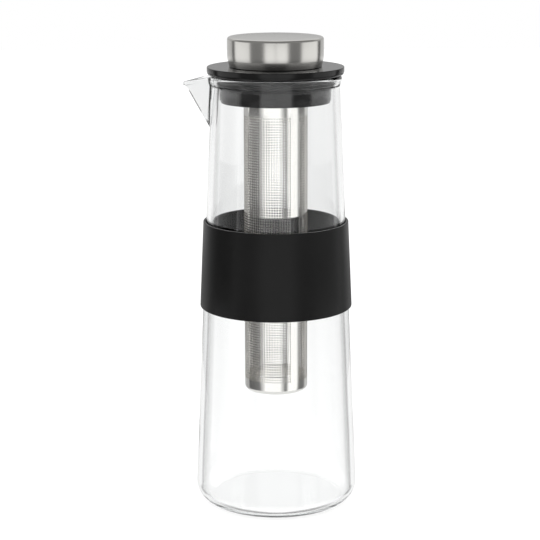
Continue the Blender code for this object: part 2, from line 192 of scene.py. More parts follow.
# The same by height, the sine of the ray's elevation: how the lid's boxes fade, what the glass's edge
# and foot mirror, and the heights that each ramp spans
FADE_STOPS = ((-0.55, 0.90), (-0.47, 0.46), (-0.42, 0.46), (-0.35, 0.62), (-0.22, 0.86), (-0.12, 1.0))
FADE_SPAN = (-0.7, 0.0)
EDGE_STOPS = (
    (-0.254, 0.78), (-0.250, 0.20), (-0.189, 0.20), (-0.185, 0.67), (-0.176, 0.70), (-0.168, 0.90),
)
EDGE_SPAN = (-0.3, -0.1)
FOOT_STOPS = ((-0.98, 0.97), (-0.94, 0.45), (-0.84, 0.35), (-0.76, 0.55), (-0.66, 0.97))
FOOT_SPAN = (-1.0, -0.4)
# Heights between which one part of the studio gives way to another
HORIZON_STEP = (-0.02, 0.04)
GRAZING_STEP = (-0.1143, -0.1160)
GAIN_STEP = (0.09, 0.115)
UPPER_STEP = (0.32, 0.50)
SECOND_STEP = (0.18, 0.24)
WALL_STEP = (-0.158, -0.166)
NECK_STEP = (-0.1318, -0.1306)
FOOT_STEP = (-0.40, -0.48)
TUBE_STEP = (-0.1274, -0.1286)
FAR_GROUND_STEP = (-0.45, -0.60)
BENT_STEP = (-0.03, 0.0)
STEEP_STEP = (0.10, 0.14)
# Plain levels among them
HIGH_GAIN = 1.3
WALL_LEVEL = 0.97
FAR_GROUND_LEVEL = 0.95
FAR_SKY_LEVEL = 0.90
KEEL_DARK = 0.18

# Floor: what it sends back, and how white it glows, through the glass by its distance along +Y
FLOOR_HALF = 3.0
FLOOR_DROP = 0.0002
FLOOR_BOUNCE = 0.80
FLOOR_SHADED = 0.20
FLOOR_GLOW = 0.84
GLOW_STOPS = (
    (0.00, 0.99), (0.12, 0.97), (0.20, 0.92), (0.43, 0.87), (1.05, 0.70), (1.39, 0.71), (1.90, 0.76),
)
GLOW_SPAN = (-0.1, 2.0)

# Cards and lamps beside the carafe
FLAG_SIDE = 0.155
FLAG_BACK = 0.02
FLAG_BOTTOM = 0.105
FLAG_TOP = 0.212
LAMP_AIM = (0.0, 0.0, 0.15)

# Light paths through glass walls and off steel
MAX_BOUNCES = 32
GLOSSY_BOUNCES = 24


class Graph:
    """Adds nodes to a material's or a world's tree, with sockets set or linked by name."""

    def __init__(self, tree):
        self.tree = tree
        tree.nodes.clear()

    def add(self, kind, inputs=None, **settings):
        node = self.tree.nodes.new(kind)
        for name, value in settings.items():
            setattr(node, name, value)
        for socket, value in (inputs or {}).items():
            if isinstance(value, bpy.types.NodeSocket):
                self.tree.links.new(value, node.inputs[socket])
            else:
                node.inputs[socket].default_value = value
        return node

    def math(self, operation, a, b=0.0, c=0.0):
        return self.add("ShaderNodeMath", {0: a, 1: b, 2: c}, operation=operation).outputs[0]

    def ramp(self, value, stops):
        """A colour ramp of greys, from (position, level) stops."""
        node = self.add("ShaderNodeValToRGB", {"Fac": value})
        line = node.color_ramp.elements
        while len(line) < len(stops):
            line.new(1.0)
        for element, (position, level) in zip(line, stops):
            element.position = position
            element.color = grey(level)
        return node.outputs["Color"]

    def noise(self, vector, scale, detail):
        inputs = {"Vector": vector, "Scale": scale, "Detail": detail}
        return self.add("ShaderNodeTexNoise", inputs).outputs["Fac"]

    def spread(self, value, low, high):
        """Maps 0..1 to low..high."""
        inputs = {"Value": value, "To Min": low, "To Max": high}
        return self.add("ShaderNodeMapRange", inputs).outputs["Result"]

    def bump(self, height, distance):
        inputs = {"Height": height, "Distance": distance, "Strength": 1.0}
        return self.add("ShaderNodeBump", inputs).outputs["Normal"]

    def ease(self, value, low, high):
        """0 before low, 1 past high, and a smooth step between. Low may be the greater."""
        inputs = {"Value": value, "From Min": low, "From Max": high}
        return self.add("ShaderNodeMapRange", inputs, interpolation_type="SMOOTHSTEP").outputs["Result"]

    def at_least(self, depth, count):
        """1 where a ray's depth has reached a count, else 0."""
        return self.math("GREATER_THAN", depth, count - 0.5)

    def blend(self, factor, a, b):
        """Mixes two numbers by a factor."""
        return self.add("ShaderNodeMix", {0: factor, 2: a, 3: b}).outputs[0]

    def tint(self, factor, dark, light):
        """Mixes two colours by a factor."""
        return self.add("ShaderNodeMix", {0: factor, 6: dark, 7: light}, data_type="RGBA").outputs[2]

    def graded(self, value, stops, low, high, top=1.0):
        """A number that follows (value, level) stops between low and high."""
        inputs = {"Value": value, "From Min": low, "From Max": high}
        share = self.add("ShaderNodeMapRange", inputs).outputs["Result"]
        shade = self.ramp(share, [((at - low) / (high - low), level / top) for at, level in stops])
        return self.math("MULTIPLY", self.add("ShaderNodeRGBToBW", {"Color": shade}).outputs[0], top)

    def position(self):
        """A point's place in its own piece, which is its place in the frame at rest."""
        return self.add("ShaderNodeTexCoord").outputs["Object"]

    def split(self, vector):
        return self.add("ShaderNodeSeparateXYZ", {"Vector": vector}).outputs

    def glow(self, strength):
        return self.add("ShaderNodeEmission", {"Color": WHITE, "Strength": strength}).outputs["Emission"]

    def clear(self):
        return self.add("ShaderNodeBsdfTransparent").outputs["BSDF"]

    def choose(self, factor, first, second):
        """Mixes two shaders by a factor."""
        return self.add("ShaderNodeMixShader", {"Fac": factor, 1: first, 2: second}).outputs["Shader"]


def grey(level):
    return (level, level, level, 1.0)


WHITE = grey(1.0)


def new_material(name):
    made = bpy.data.materials.new(name)
    made.use_nodes = True
    return made, Graph(made.node_tree)


def surface(graph, inputs):
    shader = graph.add("ShaderNodeBsdfPrincipled", inputs)
    graph.add("ShaderNodeOutputMaterial", {"Surface": shader.outputs["BSDF"]})


def steel(name, dark, light, roughness, grain, relief, painted_shade_inside=None):
    """Brushed stainless steel, its lines round the axis. Within (radius, above height) it gets painted
    shade: a less metallic colour, so the inside of a tube and its holes look darker.
    """
    made, graph = new_material(name)
    at = graph.split(graph.position())
    squares = [graph.math("POWER", at[axis], 2.0) for axis in "XY"]
    radius = graph.math("POWER", graph.math("ADD", *squares), 0.5)
    turn = graph.math("ARCTAN2", at["Y"], at["X"])
    lined = graph.add("ShaderNodeCombineXYZ", {
        "X": graph.math("MULTIPLY", radius, grain),
        "Y": graph.math("MULTIPLY", turn, STEEL_TURN_SCALE),
        "Z": graph.math("MULTIPLY", at["Z"], grain),
    }).outputs["Vector"]
    lines = graph.noise(lined, scale=1.0, detail=3.0)
    cloud = graph.noise(graph.position(), STEEL_CLOUD_SCALE, detail=3.0)
    colour, metallic = graph.tint(lines, (*dark, 1.0), (*light, 1.0)), 1.0
    # Painted shade: inside the tube the steel turns less metallic, so the inside and the holes look
    # darker
    if painted_shade_inside:
        edge, floor = painted_shade_inside
        within = graph.math("LESS_THAN", radius, edge)
        inside = graph.math("MULTIPLY", within, graph.math("GREATER_THAN", at["Z"], floor))
        colour = graph.tint(inside, colour, STEEL_PAINTED_SHADE_COLOUR)
        metallic = graph.spread(inside, 1.0, STEEL_PAINTED_SHADE_METALLIC)
    line_gloss = graph.spread(lines, *(share * roughness for share in STEEL_LINE_GLOSS))
    cloud_gloss = graph.spread(cloud, -STEEL_CLOUD_GLOSS * roughness, STEEL_CLOUD_GLOSS * roughness)
    surface(graph, {
        "Base Color": colour,
        "Metallic": metallic,
        "Roughness": graph.math("ADD", line_gloss, cloud_gloss),
        "Normal": graph.bump(lines, relief),
    })
    return made


def plastic(name, dark, light, roughness, specular, grain, relief):
    """Moulded plastic or silicone: a fine grain, with broad changes of gloss."""
    made, graph = new_material(name)
    place = graph.position()
    fine = graph.noise(place, grain, detail=2.0)
    cloud = graph.noise(place, PLASTIC_CLOUD_SCALE, detail=3.0)
    gloss = graph.spread(cloud, roughness - PLASTIC_CLOUD_GLOSS, roughness + PLASTIC_CLOUD_GLOSS)
    surface(graph, {
        "Base Color": graph.tint(cloud, grey(dark), grey(light)),
        "Roughness": gloss,
        "Specular IOR Level": specular,
        "Normal": graph.bump(fine, relief),
    })
    return made


def clear_glass(name):
    """Blown borosilicate glass: a slight waviness, and grey where the path through it is long."""
    made, graph = new_material(name)
    waves = graph.noise(graph.position(), GLASS_WAVE_SCALE, detail=1.0)
    shader = graph.add("ShaderNodeBsdfPrincipled", {
        "Base Color": GLASS_COLOUR,
        "Roughness": 0.0,
        "IOR": GLASS_IOR,
        "Transmission Weight": 1.0,
        "Normal": graph.bump(waves, GLASS_WAVE_HEIGHT),
    })
    depth = {"Color": GLASS_DEPTH_COLOUR, "Density": GLASS_DEPTH_DENSITY}
    absorb = graph.add("ShaderNodeVolumeAbsorption", depth)
    graph.add("ShaderNodeOutputMaterial", {
        "Surface": shader.outputs["BSDF"],
        "Volume": absorb.outputs["Volume"],
    })
    return made


def mesh_piece(name, points, faces, look, node, body):
    """Makes a smooth-shaded piece that stands for a node of the frame."""
    mesh = bpy.data.meshes.new(name)
    mesh.from_pydata(points, [], faces)
    mesh.validate()
    mesh.shade_smooth()
    mesh.set_sharp_from_angle(angle=math.radians(SMOOTH_ANGLE_DEG))
    mesh.materials.append(look)
    piece = bpy.data.objects.new(name, mesh)
    bpy.context.scene.collection.objects.link(piece)
    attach(piece, body)
    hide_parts(node)


def rounded(corners, closed=True):
    """Outline points from corners (radius, height, fillet), each fillet drawn as an arc."""
    count = len(corners)
    points = []
    for i, (x, z, fillet) in enumerate(corners):
        inner = closed or 0 < i < count - 1
        if fillet <= 0.0 or not inner:
            points.append((x, z))
            continue
        before, after = corners[i - 1], corners[(i + 1) % count]
        to_before = (before[0] - x, before[1] - z)
        to_after = (after[0] - x, after[1] - z)
        len_before, len_after = math.hypot(*to_before), math.hypot(*to_after)
        u = (to_before[0] / len_before, to_before[1] / len_before)
        v = (to_after[0] / len_after, to_after[1] / len_after)
        half = math.acos(max(-1.0, min(1.0, u[0] * v[0] + u[1] * v[1]))) / 2
        reach = min(fillet / math.tan(half), len_before / 2, len_after / 2)
        radius = reach * math.tan(half)
        middle = (u[0] + v[0], u[1] + v[1])
        scale = radius / math.sin(half) / math.hypot(*middle)
        centre = (x + middle[0] * scale, z + middle[1] * scale)
        start = math.atan2(z + u[1] * reach - centre[1], x + u[0] * reach - centre[0])
        end = math.atan2(z + v[1] * reach - centre[1], x + v[0] * reach - centre[0])
        sweep = (end - start + math.pi) % (2 * math.pi) - math.pi
        steps = max(3, round(abs(sweep) / math.radians(ARC_STEP_DEG)))
        for k in range(steps + 1):
            angle = start + sweep * k / steps
            points.append((centre[0] + radius * math.cos(angle), centre[1] + radius * math.sin(angle)))
    return points


def join_rings(rings, count, closed=False):
    """Faces from each ring of points to the next, and from the last to the first if closed."""
    faces = []
    for i in range(rings if closed else rings - 1):
        low, high = i * count, (i + 1) % rings * count
        for k in range(count):
            after = (k + 1) % count
            faces.append((low + k, low + after, high + after, high + k))
    return faces


def close_ends(points, faces, rings, count, first_z, last_z):
    """Adds a point on the axis at either end, with faces to the nearest ring."""
    for ring, z, order in ((0, first_z, -1), (rings - 1, last_z, 1)):
        points.append((0.0, 0.0, z))
        for k in range(count):
            edge = (ring * count + k, ring * count + (k + 1) % count)
            faces.append((len(points) - 1, *edge[::order]))


def turned(name, corners, look, node, body, closed=True):
    """A piece turned about the axis. An open outline starts and ends on the axis."""
    outline = rounded(corners, closed)
    rings = outline if closed else outline[1:-1]
    points = []
    for radius, z in rings:
        for k in range(TURN_STEPS):
            angle = 2 * math.pi * k / TURN_STEPS
            points.append((radius * math.cos(angle), radius * math.sin(angle), z))
    faces = join_rings(len(rings), TURN_STEPS, closed)
    if not closed:
        close_ends(points, faces, len(rings), TURN_STEPS, outline[0][1], outline[-1][1])
    mesh_piece(name, points, outward(points, faces), look, node, body)


def outward(points, faces):
    """The faces, all turned over if they enclose a negative volume."""
    place = np.array(points)
    volume = 0.0
    for face in faces:
        a = place[face[0]]
        for b, c in zip(face[1:], face[2:]):
            volume += np.dot(a, np.cross(place[b], place[c]))
    return faces if volume > 0.0 else [face[::-1] for face in faces]


def span(node):
    """A turned node's outer radius, and its lowest and highest z."""
    low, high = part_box(node)
    return high[0], low[2], high[2]


# Glass

CARAFE_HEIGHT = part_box("carafe")[1][2]
RIM_RADIUS = NECK_RADIUS + RIM_FLARE
NECK_Z = CARAFE_HEIGHT - NECK_TO_RIM
SPOUT_BOTTOM_Z = CARAFE_HEIGHT - SPOUT_DEPTH


def cone_radius(z):
    return NECK_RADIUS + BASE_FLARE * (1.0 - z / NECK_Z)


def smooth(share):
    """A smooth step from 0 at 0 to 1 at 1."""
    share = max(0.0, min(1.0, share))
    return share * share * (3.0 - 2.0 * share)


def wall_radius(z):
    """The glass's outer radius at a height, with the flare above the neck."""
    if z <= NECK_Z:
        return cone_radius(z)
    rise = smooth((z - NECK_Z) / (NECK_TO_RIM - GLASS_WALL / 2))
    return NECK_RADIUS + (RIM_RADIUS - NECK_RADIUS) * rise


def spout_lift(z):
    """A height as a share of the spout's, from 0 at its lowest point to 1 at the rim."""
    return (z - SPOUT_BOTTOM_Z) / SPOUT_DEPTH


def spout_half_angle(radius, half_width, keel):
    """Half the spout's angle at its keel, from its half width where it leaves a circle."""
    return math.atan2(half_width, keel - math.sqrt(radius**2 - half_width**2))


def glass_levels():
    """(radius, keel distance, half angle, height) of each ring, from foot over rim to inner floor."""
    tip = RIM_RADIUS + SPOUT_REACH
    half = spout_half_angle(RIM_RADIUS, SPOUT_HALF_WIDTH, tip)
    inner_half = spout_half_angle(RIM_RADIUS - GLASS_WALL, CHANNEL_HALF_WIDTH, tip - KEEL_WALL)
    rim_centre_z = CARAFE_HEIGHT - GLASS_WALL / 2
    plain_run, spout_run = SPOUT_BOTTOM_Z - FOOT_CORNER, rim_centre_z - SPOUT_BOTTOM_Z
    plain_z = [FOOT_CORNER + plain_run * k / PLAIN_STEPS for k in range(1, PLAIN_STEPS)]
    spout_z = [SPOUT_BOTTOM_Z + spout_run * k / SPOUT_STEPS for k in range(SPOUT_STEPS + 1)]
    levels = []
    foot_centre = cone_radius(FOOT_CORNER) - FOOT_CORNER
    for k in range(FOOT_STEPS + 1):
        angle = math.pi / 2 * k / FOOT_STEPS
        radius = foot_centre + FOOT_CORNER * math.sin(angle)
        levels.append((radius, 0.0, half, FOOT_CORNER * (1.0 - math.cos(angle))))
    levels += [(wall_radius(z), 0.0, half, z) for z in plain_z]
    levels += [(wall_radius(z), wall_radius(z) + SPOUT_REACH * spout_lift(z), half, z) for z in spout_z]
    rim_keel = levels[-1][1]
    for k in range(1, RIM_STEPS):
        angle = math.pi * k / RIM_STEPS
        inward = GLASS_WALL / 2 * (1.0 - math.cos(angle))
        share = inward / GLASS_WALL
        mixed_half = half + (inner_half - half) * share
        z = rim_centre_z + GLASS_WALL / 2 * math.sin(angle)
        levels.append((RIM_RADIUS - inward, rim_keel - KEEL_WALL * share, mixed_half, z))
    for z in reversed(spout_z):
        wall = GLASS_WALL + (KEEL_WALL - GLASS_WALL) * smooth(spout_lift(z) / KEEL_FADE)
        keel = wall_radius(z) + SPOUT_REACH * spout_lift(z) - wall
        levels.append((wall_radius(z) - GLASS_WALL, keel, inner_half, z))
    corner_z = FLOOR_THICKNESS + INNER_CORNER
    levels += [(wall_radius(z) - GLASS_WALL, 0.0, half, z) for z in reversed(plain_z) if z > corner_z]
    for k in range(INNER_CORNER_STEPS + 1):
        angle = math.pi / 2 * k / INNER_CORNER_STEPS
        radius = cone_radius(corner_z) - GLASS_WALL - INNER_CORNER * (1.0 - math.cos(angle))
        levels.append((radius, 0.0, half, corner_z - INNER_CORNER * math.sin(angle)))
    return levels


def make_glass(look):
    """The glass body: rings that are circles, drawn out to a wedge over the spout."""
    columns = [math.radians(SPOUT_COLUMN_DEG * k) for k in range(-SPOUT_COLUMNS, SPOUT_COLUMNS + 1)]
    edge = columns[-1]
    rest = 2 * math.pi - 2 * edge
    columns += [edge + rest * k / ROUND_COLUMNS for k in range(1, ROUND_COLUMNS)]
    count = len(columns)
    points = []
    for radius, apex, half, z in glass_levels():
        sharp = smooth((spout_lift(z) - CREASE_LIFTS[0]) / (CREASE_LIFTS[1] - CREASE_LIFTS[0]))
        nearest = apex * math.sin(half)
        crease = min(apex - radius, radius - nearest, CREASE_SOFT + (CREASE_SHARP - CREASE_SOFT) * sharp)
        for angle in columns:
            turn = abs((angle + math.pi) % (2 * math.pi) - math.pi)
            wedge = nearest / math.sin(min(half + turn, math.pi / 2))
            out = max(radius, wedge)
            if apex > radius and crease > abs(wedge - radius):
                out += crease / 4 * (1.0 - abs(wedge - radius) / crease) ** 2
            drop = SPOUT_DROP * (out - radius) / SPOUT_REACH
            points.append((-out * math.cos(angle), out * math.sin(angle), z - drop))
    rings = len(points) // count
    faces = join_rings(rings, count)
    close_ends(points, faces, rings, count, points[0][2], points[-1][2])
    mesh_piece("carafe_glass", points, outward(points, faces), look, "carafe", "carafe")


# Sleeve and lid collar


def make_sleeve(look):
    outer, bottom, top = span("grip_sleeve")
    low = outer - SLEEVE_THICKNESS
    high = low - (cone_radius(bottom) - cone_radius(top))
    corners = [
        (low, bottom, SLEEVE_EDGE),
        (low + SLEEVE_THICKNESS, bottom, SLEEVE_EDGE),
        (high + SLEEVE_THICKNESS, top, SLEEVE_EDGE),
        (high, top, SLEEVE_EDGE),
    ]
    turned("sleeve_band", corners, look, "grip_sleeve", "sleeve")


def make_collar(matte, gloss, rubber):
    flange_radius, spigot_end, flange_top = span("collar_flange")
    under = flange_top - FLANGE_THICKNESS
    spigot = COLLAR_BORE + SPIGOT_WALL
    flange = [
        (COLLAR_BORE, spigot_end, 0.0),
        (spigot, spigot_end, 0.0),
        (spigot, under, 0.0),
        (flange_radius, under, FLANGE_LOWER_EDGE),
        (flange_radius, flange_top, FLANGE_TOP_EDGE),
        (COLLAR_BORE, flange_top, FLANGE_TOP_EDGE),
    ]
    turned("collar_disc", flange, matte, "collar_flange", "collar")

    plug_radius, plug_bottom, plug_top = span("collar_plug")
    socket = plug_radius - PLUG_WALL
    shelf = plug_bottom + PLUG_SHELF
    bore = TUBE_RADIUS + SLIDE_GAP
    plug = [
        (bore, plug_bottom, MOULD_EDGE),
        (plug_radius - PLUG_STEP, plug_bottom, MOULD_EDGE),
        (plug_radius - PLUG_STEP, plug_bottom + PLUG_STEP_HEIGHT, MOULD_EDGE / 4),
        (plug_radius, plug_bottom + PLUG_STEP_HEIGHT, MOULD_EDGE / 2),
        (plug_radius, plug_top, MOULD_EDGE),
        (socket, plug_top, 0.0),
        (socket, shelf, 0.0),
        (bore, shelf, 0.0),
    ]
    turned("plug_ring", plug, gloss, "collar_plug", "collar")

    _, seal_bottom, seal_top = span("neck_seal")
    seal = [(socket, seal_bottom, 0.0), (plug_radius, seal_bottom, 0.0)]
    lowest = seal_bottom + LOWER_LIP["root"] / 2
    for root, lip in ((lowest, LOWER_LIP), (lowest + (seal_top - seal_bottom) / 2, UPPER_LIP)):
        tip = root - lip["droop"] + (lip["root"] - lip["tip"]) / 2
        reach = wall_radius(tip) - GLASS_WALL + lip["press"]
        seal += [
            (plug_radius, root, LIP_TIP),
            (reach, tip, LIP_TIP),
            (reach, tip + lip["tip"], LIP_TIP),
            (plug_radius, root + lip["root"], LIP_TIP),
        ]
    seal += [(plug_radius, seal_top, 0.0), (socket, seal_top, 0.0)]
    turned("lip_seal", seal, rubber, "neck_seal", "collar")

    gasket_radius, gasket_bottom, gasket_top = span("filter_gasket")
    edge = MOULD_EDGE / 2
    gasket = [
        (bore, gasket_bottom, edge),
        (gasket_radius, gasket_bottom, edge),
        (gasket_radius, gasket_top, edge),
        (bore, gasket_top, edge),
    ]
    turned("rim_gasket", gasket, rubber, "filter_gasket", "collar")


# Filter


def make_filter(look):
    rim_radius, skirt_bottom, rim_top = span("filter_rim")
    under = rim_top - FILTER_RIM_THICKNESS
    inner = TUBE_RADIUS - SHEET
    inset = inner - SEAT_GAP
    band_bottom = skirt_bottom + LOCATING_DEPTH
    rim = [
        (inset - SHEET, skirt_bottom, 0.0),
        (inset, skirt_bottom, 0.0),
        (inset, band_bottom, 0.0),
        (TUBE_RADIUS, band_bottom, 0.0),
        (TUBE_RADIUS, under, SHEET),
        (rim_radius, under, SHEET / 2),
        (rim_radius, rim_top, SHEET / 2),
        (inner, rim_top, SHEET),
        (inner, band_bottom + SHEET, 0.0),
        (inset - SHEET, band_bottom + SHEET, 0.0),
    ]
    turned("filter_band", rim, look, "filter_rim", "filter")

    _, cup_bottom, cup_skirt_top = span("filter_base")
    cup_top = cup_skirt_top - LOCATING_DEPTH
    cup = [
        (0.0, cup_bottom, 0.0),
        (TUBE_RADIUS, cup_bottom, CUP_CORNER),
        (TUBE_RADIUS, cup_top, 0.0),
        (inset, cup_top, 0.0),
        (inset, cup_skirt_top, 0.0),
        (inset - SHEET, cup_skirt_top, 0.0),
        (inset - SHEET, cup_bottom + SHEET, CUP_CORNER),
        (0.0, cup_bottom + SHEET, 0.0),
    ]
    turned("filter_cup", cup, look, "filter_base", "filter", closed=False)
    make_screen(look)


def make_screen(look):
    """The perforated tube: a sheet with square holes in rows, left plain along its seam."""
    _, bottom, top = span("filter_tube")
    # It reaches over the seat gaps, up to the band and down to the cup
    bottom, top = bottom - SEAT_GAP, top + SEAT_GAP
    seam_start, seam_end = (math.radians(degrees) for degrees in SEAM_DEG)
    run = 2 * math.pi - (seam_end - seam_start)
    across = round(run * TUBE_RADIUS / HOLE_PITCH)
    step = run / across
    hole_turn = step * HOLE_SIDE / HOLE_PITCH
    angles, open_column = [], []
    for k in range(across):
        start = seam_end + step * k + (step - hole_turn) / 2
        angles += [start, start + hole_turn]
        open_column += [True, False]
    for k in range(1, SEAM_STEPS):
        angles.append(seam_end + run + (seam_end - seam_start) * (k - 0.5) / (SEAM_STEPS - 1))
        open_column.append(False)
    up = round((top - bottom - 2 * END_STRIP) / HOLE_PITCH)
    rise = (top - bottom - 2 * END_STRIP) / up
    heights, open_row = [bottom], [False]
    for k in range(up):
        start = bottom + END_STRIP + rise * k + (rise - HOLE_SIDE) / 2
        heights += [start, start + HOLE_SIDE]
        open_row += [True, False]
    heights.append(top)
    columns, rows = len(angles), len(heights)
    points = []
    for radius in (TUBE_RADIUS, TUBE_RADIUS - SHEET):
        for z in heights:
            # Azimuth is counted from the photographed front, towards +X
            points += [(radius * math.sin(a), -radius * math.cos(a), z) for a in angles]
    sheet = columns * rows
    faces = []
    for j in range(rows - 1):
        for i in range(columns):
            after = (i + 1) % columns
            a, b = j * columns + i, j * columns + after
            c, d = a + columns, b + columns
            if open_column[i] and open_row[j]:
                for first, second in ((a, b), (b, d), (d, c), (c, a)):
                    faces.append((second, first, first + sheet, second + sheet))
            else:
                faces.append((a, b, d, c))
                faces.append((a + sheet, c + sheet, d + sheet, b + sheet))
    end = (rows - 1) * columns
    for i in range(columns):
        after = (i + 1) % columns
        faces.append((after, i, i + sheet, after + sheet))
        faces.append((end + i, end + after, end + after + sheet, end + i + sheet))
    mesh_piece("filter_screen", points, faces, look, "filter_tube", "filter")


# Cap


def make_cap(shell_look, core_look, rubber):
    belly, foot_z, top = span("cap_shell")
    top -= CAP_DROP
    steps = [k / CAP_WAIST_STEPS for k in range(CAP_WAIST_STEPS + 1)]
    waist = [(belly - CAP_BULGE * s * s, foot_z + CAP_WAIST_HEIGHT * (1.0 - s), 0.0) for s in steps]
    shell = [(0.0, top, 0.0), (belly, top, CAP_TOP_EDGE)] + waist
    shell += [(radius - CAP_WALL, z, 0.0) for radius, z, _ in reversed(waist)]
    shell += [(belly - CAP_WALL, top - CAP_WALL, CAP_TOP_EDGE - CAP_WALL), (0.0, top - CAP_WALL, 0.0)]
    turned("cap_cover", shell, shell_look, "cap_shell", "cap", closed=False)

    shoulder, end, roof = span("cap_core")
    roof -= CAP_DROP
    plug = COLLAR_BORE - CORE_CLEARANCE
    groove = end + GROOVE_ABOVE_END
    plate_radius, plate_bottom, plate_top = span("cap_plate")
    plate_seat = plate_top + SEAT_GAP
    core = [
        (0.0, roof, 0.0),
        (shoulder, roof, CAP_TOP_EDGE),
        (shoulder, foot_z, 0.0),
        (plug, foot_z, MOULD_EDGE / 2),
        (plug, groove + GROOVE_HEIGHT, MOULD_EDGE / 2),
        (plug - GROOVE_DEPTH, groove + GROOVE_HEIGHT, 0.0),
        (plug - GROOVE_DEPTH, groove, 0.0),
        (plug, groove, MOULD_EDGE / 2),
        (plug, end, MOULD_EDGE),
        (plug - CORE_WALL / 2, end, MOULD_EDGE / 2),
        (plug - CORE_WALL / 2, plate_seat, 0.0),
        (plug - CORE_WALL, plate_seat, 0.0),
        (plug - CORE_WALL, roof - CORE_ROOF, CORE_WALL),
        (0.0, roof - CORE_ROOF, 0.0),
    ]
    turned("cap_plug", core, core_look, "cap_core", "cap", closed=False)
    plate = [
        (0.0, plate_bottom, 0.0),
        (plate_radius, plate_bottom, MOULD_EDGE),
        (plate_radius, plate_top, 0.0),
        (0.0, plate_top, 0.0),
    ]
    turned("closing_plate", plate, core_look, "cap_plate", "cap", closed=False)
    ring_outer, ring_bottom, ring_top = span("cap_seal")
    ring_inner = plug - GROOVE_DEPTH + SEAT_GAP
    ring = [
        (ring_inner, ring_bottom, 0.0),
        (ring_outer, ring_bottom, SEAL_RING_EDGE),
        (ring_outer, ring_top, SEAL_RING_EDGE),
        (ring_inner, ring_top, 0.0),
    ]
    turned("seal_ring", ring, rubber, "cap_seal", "cap")


# Stage


def make_camera():
    data = bpy.data.cameras.new("camera")
    data.sensor_width = SENSOR_MM
    data.lens = SENSOR_MM * FOCAL_PIXELS / IMAGE_PIXELS
    camera = bpy.data.objects.new("camera", data)
    camera.location = CAMERA_AT
    camera.rotation_euler = (math.radians(90.0 - CAMERA_PITCH_DEG), math.radians(CAMERA_ROLL_DEG), 0.0)
    bpy.context.scene.collection.objects.link(camera)
    bpy.context.scene.camera = camera


def make_world():
    """White where it is seen straight or through glass, and a studio of soft boxes in reflections."""
    world = bpy.data.worlds.new("studio")
    world.use_nodes = True
    bpy.context.scene.world = world
    graph = Graph(world.node_tree)
    way = graph.split(graph.add("ShaderNodeTexCoord").outputs["Generated"])
    turn = graph.math("ARCTAN2", way["X"], graph.math("MULTIPLY", way["Y"], -1.0))
    height = way["Z"]
    path = graph.add("ShaderNodeLightPath").outputs
    inside = graph.at_least(path["Transmission Depth"], 1)
    behind = graph.at_least(path["Transmission Depth"], 3)
    bounces = graph.math("ADD", path["Glossy Depth"], path["Diffuse Depth"])
    bounced = graph.at_least(bounces, 1)

    def bands(stops):
        """Brightness round the horizon, from (degrees from the front towards +X, brightness) stops."""
        radians = [(math.radians(degrees), level) for degrees, level in stops]
        return graph.graded(turn, radians, -math.pi, math.pi, RAMP_TOP)

    def past(step):
        """How far the ray's height is across a step."""
        return graph.ease(height, *step)

    # Mirrored outside the glass, below the horizon
    low_boxes = graph.math("MULTIPLY", bands(LEVEL_BANDS), graph.graded(height, FADE_STOPS, *FADE_SPAN))
    grazing = graph.math("MULTIPLY", bands(EDGE_BANDS), past(GRAZING_STEP))
    below = graph.blend(grazing, low_boxes, graph.graded(height, EDGE_STOPS, *EDGE_SPAN))

    # Mirrored outside the glass, above the horizon: once, or once more off the disc
    gain = graph.blend(past(GAIN_STEP), 1.0, HIGH_GAIN)
    high_boxes = graph.math("MULTIPLY", bands(HIGH_BANDS), gain)
    second = graph.blend(past(SECOND_STEP), high_boxes, bands(SECOND_BANDS))
    first = graph.blend(past(UPPER_STEP), high_boxes, bands(UPPER_BANDS))
    once = graph.math("COMPARE", path["Glossy Depth"], 1.0, 0.5)
    above = graph.blend(once, second, first)
    outer = graph.blend(past(HORIZON_STEP), below, above)

    # Mirrored within the front glass: its wall, its neck and its foot. The neck's height is counted
    # without what the cone's lean adds to it, so that it ends level with the plug
    wall = graph.blend(past(WALL_STEP), WALL_LEVEL, bands(WALL_BANDS))
    lean = graph.math("COSINE", graph.math("MULTIPLY", turn, 0.5))
    upright = graph.math("MULTIPLY_ADD", lean, -2.0 * BASE_FLARE / NECK_Z, height)
    wall = graph.blend(graph.ease(upright, *NECK_STEP), wall, bands(NECK_BANDS))
    foot = graph.graded(height, FOOT_STOPS, *FOOT_SPAN)
    wall = graph.blend(past(FOOT_STEP), wall, foot)

    # Mirrored behind the front glass: the plug, the strainer and the far wall
    through = graph.blend(past(TUBE_STEP), bands(PLUG_BANDS), bands(TUBE_BANDS))
    through = graph.blend(past(FAR_GROUND_STEP), through, FAR_GROUND_LEVEL)
    through = graph.blend(past(HORIZON_STEP), through, FAR_SKY_LEVEL)
    studio = graph.blend(inside, outer, graph.blend(behind, wall, through))

    # Seen straight: white, but darker where an edge of the glass bends the ray upwards
    bent = graph.blend(past(STEEP_STEP), bands(KEEL_BANDS), KEEL_DARK)
    straight = graph.blend(graph.math("MULTIPLY", inside, past(BENT_STEP)), 1.0, bent)
    strength = graph.blend(bounced, straight, studio)
    backdrop = graph.add("ShaderNodeBackground", {"Color": WHITE, "Strength": strength})
    graph.add("ShaderNodeOutputWorld", {"Surface": backdrop.outputs["Background"]})


def flat_sheet(name, corners, look):
    """A four-cornered sheet for the stage."""
    mesh = bpy.data.meshes.new(name)
    mesh.from_pydata(corners, [], [(0, 1, 2, 3)])
    mesh.materials.append(look)
    sheet = bpy.data.objects.new(name, mesh)
    bpy.context.scene.collection.objects.link(sheet)
    return sheet


